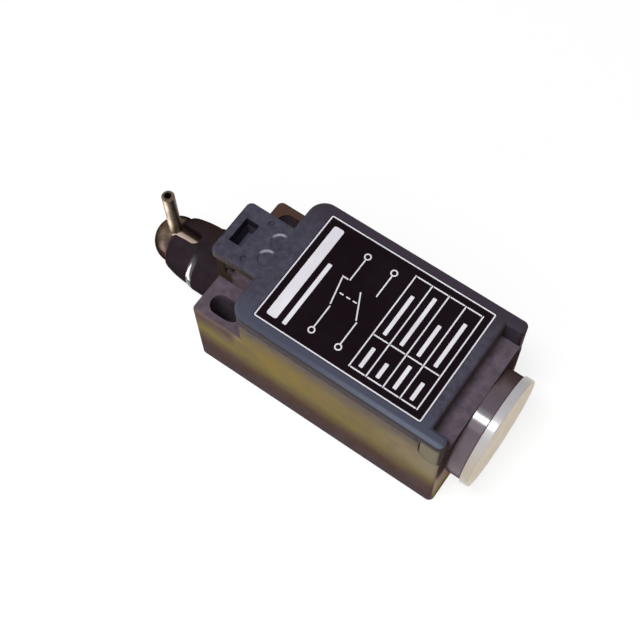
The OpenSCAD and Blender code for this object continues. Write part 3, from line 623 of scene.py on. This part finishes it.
# %% [markdown]
# ## Soft moulded edges
# No moulded edge is knife-sharp. Such fine roundings could be modelled in the solids, where they would
# cost thousands of faces. Here modifiers weld the triangles, join flat faces again and round each edge
# that turns by more than 30 degrees, so the solids themselves stay as they are.

# %% Edge rounding
WELD_MM, FLAT_DEGREES, EDGE_DEGREES, EDGE_SEGMENTS = 0.002, 0.5, 30, 3
EDGES_MM = {"housing": 0.25, "lid": 0.18, "guide_sleeve": 0.12}


def soften(name, width_mm):
    """Weld, join flat faces, round every sharp edge to a width, and let large faces set the normals."""
    piece = nodes[name]
    weld = piece.modifiers.new("weld", "WELD")
    weld.merge_threshold = WELD_MM * MM
    flat = piece.modifiers.new("flat", "DECIMATE")
    flat.decimate_type = "DISSOLVE"
    flat.angle_limit = np.radians(FLAT_DEGREES)
    bevel = piece.modifiers.new("edge", "BEVEL")
    bevel.width = width_mm * MM
    bevel.segments = EDGE_SEGMENTS
    bevel.limit_method = "ANGLE"
    bevel.angle_limit = np.radians(EDGE_DEGREES)
    even = piece.modifiers.new("even", "WEIGHTED_NORMAL")
    even.mode, even.weight, even.keep_sharp = "FACE_AREA", 100, False


for name, width in EDGES_MM.items():
    soften(name, width)
print("softened:", EDGES_MM)

# %% [markdown]
# ## The label: plate
# A thin black plate lies in the recess of the lid, with a fine pale line along its edge and print on
# it. A picture on the plate would be quicker, but print that is made as shapes stays crisp at any
# distance. Plate and marks are stacks of rings: each ring is one outline of a rounded rectangle, drawn
# in by some distance and set at some height, so a surface is a grid of rings by outline points. A
# circle is a rectangle whose corners meet. The plate's last ring is drawn in a little, and so its edge
# is broken as on punched sheet.

# %% Plate from rings
LABEL_X, LABEL_HALF_X, LABEL_HALF_Y, LABEL_CORNER = 27.35, 18.55, 12.9, 0.5
LABEL_FLOOR, LABEL_TOP, LABEL_EDGE = 31.76, 31.94, 0.05
CORNER_POINTS, SMALLEST_CORNER = 6, 0.02


def rounded_outline(half_x, half_y, radius):
    """Points round a rectangle with round corners: each corner's centre plus radius times (cos a, sin a)."""
    turn = np.radians(np.arange(4)[:, None] * 90 + np.linspace(0, 90, CORNER_POINTS)[None, :])
    sign = np.array([(1, 1), (-1, 1), (-1, -1), (1, -1)])[:, None, :]
    corner = sign * (half_x - radius, half_y - radius)
    return (corner + radius * np.stack([np.cos(turn), np.sin(turn)], -1)).reshape(-1, 2)


def ring_stack(half_x, half_y, radius, steps):
    """Grid of points, one row per (inset, height) step: the outline drawn in by the inset, at the height."""
    rows = []
    for inset, height in steps:
        corner = max(radius - inset, SMALLEST_CORNER)
        outline = rounded_outline(half_x - inset, half_y - inset, corner)
        rows.append(np.column_stack([outline, np.full(len(outline), height)]))
    return np.array(rows)


def placed(rows, x, y, turn=0.0):
    """The grid turned by an angle in degrees about Z, then moved to x, y."""
    c, s = np.cos(np.radians(turn)), np.sin(np.radians(turn))
    return rows @ np.array([(c, s, 0), (-s, c, 0), (0, 0, 1)]) + (x, y, 0)


plate_steps = [(0, LABEL_FLOOR), (0, LABEL_TOP - LABEL_EDGE), (LABEL_EDGE, LABEL_TOP)]
plate = placed(ring_stack(LABEL_HALF_X, LABEL_HALF_Y, LABEL_CORNER, plate_steps), LABEL_X, 0)
print("rings, points round and numbers of the plate:", plate.shape)

# %% [markdown]
# ## The label: from grid to mesh
# Blender's own tools could bridge the rings one by one. Here the corners of all faces are worked out as
# one array from the row and the column of each point. That is quick, and because every grid is joined
# in the same order all faces point outwards.


# %% Mesh from grids
def grid_faces(rows, closed, first):
    """Quads of a grid whose columns run round. Closed joins last row to first, else both ends get caps."""
    count, width = rows.shape[:2]
    r, c = np.meshgrid(np.arange(count if closed else count - 1), np.arange(width), indexing="ij")
    r2, c2 = (r + 1) % count, (c + 1) % width
    corners = np.stack([r * width + c, r * width + c2, r2 * width + c2, r2 * width + c], -1)
    faces = (corners.reshape(-1, 4) + first).tolist()
    if not closed:
        faces.append((np.arange(width)[::-1] + first).tolist())
        faces.append((np.arange(width) + (count - 1) * width + first).tolist())
    return faces


def piece_of_grids(name, grids, finish, body):
    """One mesh from several (rows, closed) grids, with its finish, riding on a body."""
    points, faces = [], []
    for rows, closed in grids:
        faces += grid_faces(rows, closed, sum(len(block) for block in points))
        points.append(rows.reshape(-1, 3))
    mesh = bpy.data.meshes.new(name)
    mesh.from_pydata((np.concatenate(points) * MM).tolist(), [], faces)
    mesh.validate()
    mesh.materials.append(finish)
    piece = bpy.data.objects.new(name, mesh)
    bpy.context.scene.collection.objects.link(piece)
    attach(piece, body)
    return piece


label_plate = piece_of_grids("label_plate", [(plate, False)], label_film, "lid")
print("label plate faces:", len(label_plate.data.polygons))

# %% [markdown]
# ## The label: edge line
# A fine pale line runs along the plate's edge. It could be a stripe in the plate's colour. As a closed
# band of its own it keeps one width all the way round, and it stands a hundredth of a millimetre proud,
# as thick ink does.

# %% Edge line
PRINT_LOW, PRINT_TOP = LABEL_TOP - 0.01, LABEL_TOP + 0.012
LINE_WIDTH, LINE_IN, LINE_CORNER = 0.27, 0.06, 0.4


def band(half_x, half_y, radius, width):
    """A closed flat line of some width inside an outline, as four rings: up, in, down and back out."""
    steps = [(0, PRINT_LOW), (0, PRINT_TOP), (width, PRINT_TOP), (width, PRINT_LOW)]
    return ring_stack(half_x, half_y, radius, steps)


edge = placed(band(LABEL_HALF_X - LINE_IN, LABEL_HALF_Y - LINE_IN, LINE_CORNER, LINE_WIDTH), LABEL_X, 0)
label_line = piece_of_grids("label_line", [(edge, True)], label_print, "lid")
print("edge line faces:", len(label_line.data.polygons))

# %% [markdown]
# ## The label: headings and contacts
# The print starts with two plain heading bars. Then comes a diagram of one opening and one closing
# contact: a ring at each terminal, a line to the gap, a slanted arm, and dashes between the two arms.
# Curves with a width could draw it. Bars and bands from the same rings put all the print at one height
# and in one mesh.

# %% Headings and contact diagram
PEN, REACH, ROUNDED_SHARE = 0.28, 11.2, 0.2
HEADING_X, HEADING_WIDTH = 11.7, 2.3
SUBHEAD_X, SUBHEAD_END, SUBHEAD_WIDTH = 14.6, 3.92, 0.9
OPENING_X, CLOSING_X, RING_Y, RING_R, GAP_Y = 19.5, 25.5, 9.2, 0.75, 3.2
# Each from one x, y to another
OPENING_STOP, OPENING_ARM = (19.2, 3.2, 17.8, 3.2), (19.3, -2.9, 18.0, 2.95)
CLOSING_ARM = (25.2, -3.0, 22.6, 2.3)
DASHES_X, DASH = (19.4, 20.9, 22.4), 0.9


def stroke(x0, y0, x1, y1, width):
    """A straight printed bar from one point to another, with slightly rounded ends."""
    length, turn = np.hypot(x1 - x0, y1 - y0), np.degrees(np.arctan2(y1 - y0, x1 - x0))
    bar = ring_stack(length / 2, width / 2, width * ROUNDED_SHARE, [(0, PRINT_LOW), (0, PRINT_TOP)])
    return placed(bar, (x0 + x1) / 2, (y0 + y1) / 2, turn), False


marks = [stroke(HEADING_X, -REACH, HEADING_X, REACH, HEADING_WIDTH),
         stroke(SUBHEAD_X, -REACH, SUBHEAD_X, SUBHEAD_END, SUBHEAD_WIDTH)]
for x in (OPENING_X, CLOSING_X):
    for side in (-1, 1):
        marks.append((placed(band(RING_R, RING_R, RING_R, PEN), x, side * RING_Y), True))
        marks.append(stroke(x, side * (RING_Y - RING_R), x, side * GAP_Y, PEN))
marks += [stroke(*ends, PEN) for ends in (OPENING_STOP, OPENING_ARM, CLOSING_ARM)]
marks += [stroke(x, 0, x + DASH, 0, PEN) for x in DASHES_X]
print("heading and diagram marks:", len(marks))

# %% [markdown]
# ## The label: table
# Beside the diagram lies a ruled table of four rows, each divided in two, with a short and a long plain
# bar as entries. Every bar could be placed by hand. A loop over the row lines does it, so a row can be
# moved by changing one number.

# %% Ruled table with plain entries
TABLE_X = (29.2, 32.9, 36.6, 40.3, 44.0)
DIVIDER_Y, ENTRY_WIDTH, ENTRY_MARGIN = -3.4, 0.8, 1.0
SHORT_ENTRIES, LONG_ENTRIES = (4.6, 3.4, 5.4, 4.0), (9.6, 11.6, 7.4, 10.4)

marks += [stroke(x, -REACH, x, REACH, PEN) for x in TABLE_X]
for row_start, row_end, short, long in zip(TABLE_X, TABLE_X[1:], SHORT_ENTRIES, LONG_ENTRIES):
    for y in (-REACH + PEN / 2, DIVIDER_Y, REACH - PEN / 2):
        marks.append(stroke(row_start + PEN, y, row_end - PEN, y, PEN))
    middle = (row_start + row_end) / 2
    for start, length in ((-REACH + ENTRY_MARGIN, short), (DIVIDER_Y + ENTRY_MARGIN, long)):
        marks.append(stroke(middle, start, middle, start + length, ENTRY_WIDTH))
label_marks = piece_of_grids("label_marks", marks, label_print, "lid")
print("printed marks:", len(marks), "faces:", len(label_marks.data.polygons))

# %% [markdown]
# ## The return spring
# A compression spring of round wire sits in the head between the plunger's flange and the sleeve's
# rear end. It gets shorter as the plunger goes in. The solid spring is hidden, and the spring is drawn
# again in its place, as a circle carried along a helix.

# %% Return spring
WIRE, TURNS, CLOSE_ENDS = 0.9, 4.5, 0.6
COIL_RINGS, WIRE_SIDES = 130, 12


def coil_tube(x0, x1, radius, centre_z):
    """Round wire along a helix about X: the angle runs evenly with t, and X follows
    t - CLOSE_ENDS * sin(2 pi t) / (2 pi), so the end turns lie closer together.

    Each ring is the centre line plus half the wire times (u cos a + v sin a), with u pointing away from
    the axis and v square to both u and the wire."""
    t = np.linspace(0, 1, COIL_RINGS)
    angle = 2 * np.pi * TURNS * t
    share = t - CLOSE_ENDS * np.sin(2 * np.pi * t) / (2 * np.pi)
    line = np.column_stack([x0 + (x1 - x0) * share, radius * np.cos(angle), radius * np.sin(angle)])
    along = np.gradient(line, axis=0)
    along /= np.linalg.norm(along, axis=1, keepdims=True)
    u = np.column_stack([np.zeros(COIL_RINGS), np.cos(angle), np.sin(angle)])
    v = np.cross(along, u)
    turn = np.linspace(0, 2 * np.pi, WIRE_SIDES, endpoint=False)[None, :, None]
    ring = (u[:, None] * np.cos(turn) + v[:, None] * np.sin(turn)) * WIRE / 2
    return line[:, None] + ring + (0, 0, centre_z)


spring_low, spring_high = (np.array(corner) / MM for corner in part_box("return_spring"))
coil_radius = (spring_high[2] - spring_low[2] - WIRE) / 2
coil_axis_z = (spring_low[2] + spring_high[2]) / 2
coil = coil_tube(spring_low[0] + WIRE / 2, spring_high[0] - WIRE / 2, coil_radius, coil_axis_z)
return_coil = piece_of_grids("return_coil", [(coil, False)], spring_steel, "base")
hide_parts("return_spring")
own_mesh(return_coil)

# %% [markdown]
# ## Floor
# The switch lies on white paper. More light would turn the paper white, but it would also bleach the
# switch. So rays from the camera, from mirrors and through clear pieces see a paper that mostly glows
# by itself, while all other rays meet plain paper. The share that doesn't glow still shows a soft
# shadow, and far away the paper glows fully, so no horizon shows.

# %% Floor
FLOOR_HALF_M = 4.0

corners = [(x * FLOOR_HALF_M, y * FLOOR_HALF_M, 0) for x, y in ((-1, -1), (1, -1), (1, 1), (-1, 1))]
floor_mesh = bpy.data.meshes.new("floor")
floor_mesh.from_pydata(corners, [], [(0, 1, 2, 3)])
floor = bpy.data.objects.new("floor", floor_mesh)
bpy.context.scene.collection.objects.link(floor)
print("floor:", floor.name, "side in m:", 2 * FLOOR_HALF_M)

# %% Paper of the floor
PAPER_COLOUR = "#f4f4f4"
GLOW_NEAR, GLOW_RISES, GLOW_FULL = 0.8, 150, 700


def seen_directly(tree):
    """One for rays from the camera, from mirrors and through clear pieces, and zero for all others."""
    rays = put(tree, "LightPath").outputs
    either = put(tree, "Math", {0: rays["Is Camera Ray"], 1: rays["Is Glossy Ray"]}, operation="MAXIMUM")
    inputs = {0: either.outputs[0], 1: rays["Is Transmission Ray"]}
    return put(tree, "Math", inputs, operation="MAXIMUM").outputs[0]


# Matt white with a soft shadow and no horizon
floor_paper = bpy.data.materials.new("white_paper")
floor_paper.use_nodes = True
tree = floor_paper.node_tree
tree.nodes.clear()
place = put(tree, "TexCoord").outputs["Object"]
distance = put(tree, "VectorMath", {0: place}, operation="LENGTH").outputs["Value"]
glowing = put(tree, "MapRange", {"Value": distance, "From Min": GLOW_RISES * MM, "From Max": GLOW_FULL * MM,
                                 "To Min": GLOW_NEAR}, interpolation_type="SMOOTHSTEP")
share = put(tree, "Math", {0: seen_directly(tree), 1: glowing.outputs["Result"]}, operation="MULTIPLY")
paper = put(tree, "BsdfDiffuse", {"Color": linear(PAPER_COLOUR)})
glow = put(tree, "Emission", {"Color": (1, 1, 1, 1), "Strength": 1.0})
mixed = put(tree, "MixShader", {0: share.outputs[0], 1: paper.outputs["BSDF"], 2: glow.outputs["Emission"]})
put(tree, "OutputMaterial", {"Surface": mixed.outputs["Shader"]})
floor_mesh.materials.append(floor_paper)
print("paper nodes:", len(tree.nodes))

# %% [markdown]
# ## World
# The room round the switch is white at the sides and dim overhead. A picture of a studio could light
# it, but a plain sky that darkens upwards gives the same soft fill, and round metal then shows paler
# sides and a darker top.

# %% World
# Height of the direction, from 0 level to 1 overhead, and the grey from there
SKY_SIDES, SKY_OVERHEAD = (0.45, 1.0), (0.8, 0.3)
SKY_LIGHT, SKY_SEEN = 0.45, 1.0

world = bpy.data.worlds.new("studio")
bpy.context.scene.world = world
world.use_nodes = True
tree = world.node_tree
tree.nodes.clear()
direction = put(tree, "TexCoord").outputs["Generated"]
height = put(tree, "SeparateXYZ", {"Vector": direction}).outputs["Z"]
ceiling = put(tree, "ValToRGB", {"Fac": height})
for element, (position, grey) in zip(ceiling.color_ramp.elements, (SKY_SIDES, SKY_OVERHEAD)):
    element.position, element.color = position, (grey, grey, grey, 1)
strength = put(tree, "MapRange", {"Value": seen_directly(tree), "To Min": SKY_LIGHT, "To Max": SKY_SEEN})
sky = put(tree, "Background", {"Color": ceiling.outputs["Color"], "Strength": strength.outputs["Result"]})
put(tree, "OutputWorld", {"Surface": sky.outputs["Background"]})
print("world:", world.name)

# %% [markdown]
# ## Lamps
# A broad soft lamp from above gives the plain light, and a smaller key lamp makes the bright streak on
# the neck and the plug's rim. A warm lamp from the near side stands for light off a table, and a very
# weak one by the head is there for its mirror image alone, the crescent on the collar. One big lamp
# would be simpler, but the round parts would then show no streak at all.

# %% Lamps
ALONG_HOUSING = (1, 0, 0)


def lamp(name, centre_mm, back, side, size_mm, watts, colour="#ffffff"):
    """An area lamp at a place: back points away from what it lights, side is the way its width runs."""
    back = Vector(back).normalized()
    side = Vector(side)
    side = (side - back * side.dot(back)).normalized()
    light = bpy.data.lights.new(name, "AREA")
    light.shape = "RECTANGLE"
    light.size, light.size_y = size_mm[0] * MM, size_mm[1] * MM
    light.energy = watts
    light.color = linear(colour)[:3]
    thing = bpy.data.objects.new(name, light)
    thing.matrix_world = standing(Vector(centre_mm) * MM, side, back.cross(side), back)
    bpy.context.scene.collection.objects.link(thing)
    return thing


key_lamp = lamp("key_lamp", centre_mm=(-26, -227, 785), back=(-0.1, -0.28, 0.955), side=ALONG_HOUSING,
                size_mm=(220, 170), watts=4.2)
soft_lamp = lamp("soft_lamp", centre_mm=(110, -315, 850), back=(0.1, -0.35, 0.93), side=ALONG_HOUSING,
                 size_mm=(700, 700), watts=3.2)
bounce_lamp = lamp("bounce_lamp", centre_mm=(55, -665, 225), back=(0.05, -0.95, 0.3), side=ALONG_HOUSING,
                   size_mm=(400, 400), watts=0.9, colour="#fff2c8")
bounce_lamp.visible_glossy = False
crescent_lamp = lamp("crescent_lamp", centre_mm=(-43, -32, 12), back=(-0.277, -0.265, -0.854),
                     side=(0.69, -0.72, 0), size_mm=(14, 57), watts=0.03)
crescent_lamp.visible_camera = crescent_lamp.visible_diffuse = False
print("lamps:", [thing.name for thing in (key_lamp, soft_lamp, bounce_lamp, crescent_lamp)])

# %% [markdown]
# ## View
# The Standard view shows a colour as it is written. A filmic view would turn the white paper grey.

bpy.context.scene.view_settings.view_transform = "Standard"
